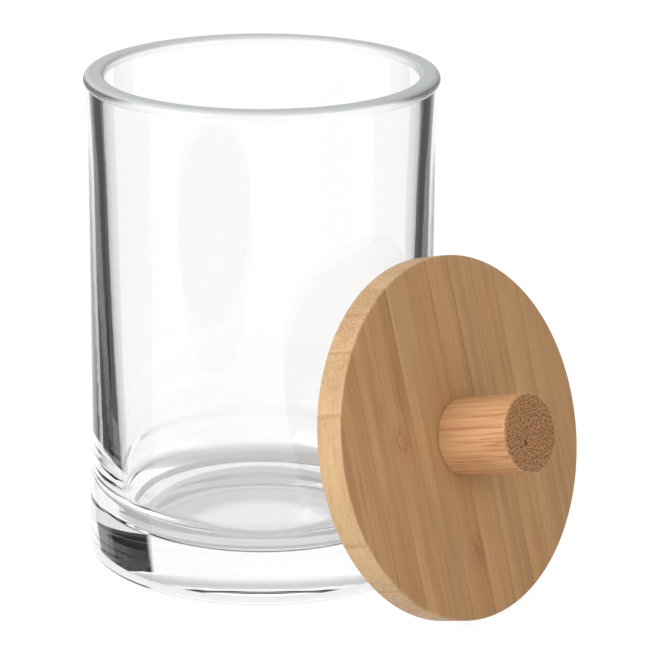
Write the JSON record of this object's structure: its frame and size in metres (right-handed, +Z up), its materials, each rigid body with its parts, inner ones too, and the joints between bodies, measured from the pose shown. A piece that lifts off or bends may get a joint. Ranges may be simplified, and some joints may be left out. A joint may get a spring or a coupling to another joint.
{
  "type": "cotton ball holder",
  "caption": "Straight clear glass jar with a thick floor, and a round bamboo lid with a cylindrical knob that stands on its edge and leans on the jar.",
  "frame": {"origin": "on the jar's axis, in the plane of the foot ring that it stands on", "axes": "+Z up along the jar's axis; the picture looks along +Y, with +X to the right, and the lid stands at the right front"},
  "size_m": [0.1071, 0.1051, 0.109],
  "materials": {
    "clear_glass": "clear, polished",
    "lid_bamboo": "sanded, laminated bamboo with a clear matt oil",
    "knob_bamboo": "sanded bamboo, end grain at the tip",
    "screw_steel": "bright zinc"
  },
  "bodies": {
    "root": {"glass_jar": "clear_glass", "bamboo_lid": "lid_bamboo", "bamboo_knob": "knob_bamboo", "knob_screw": "screw_steel"}
  },
  "joints": []
}
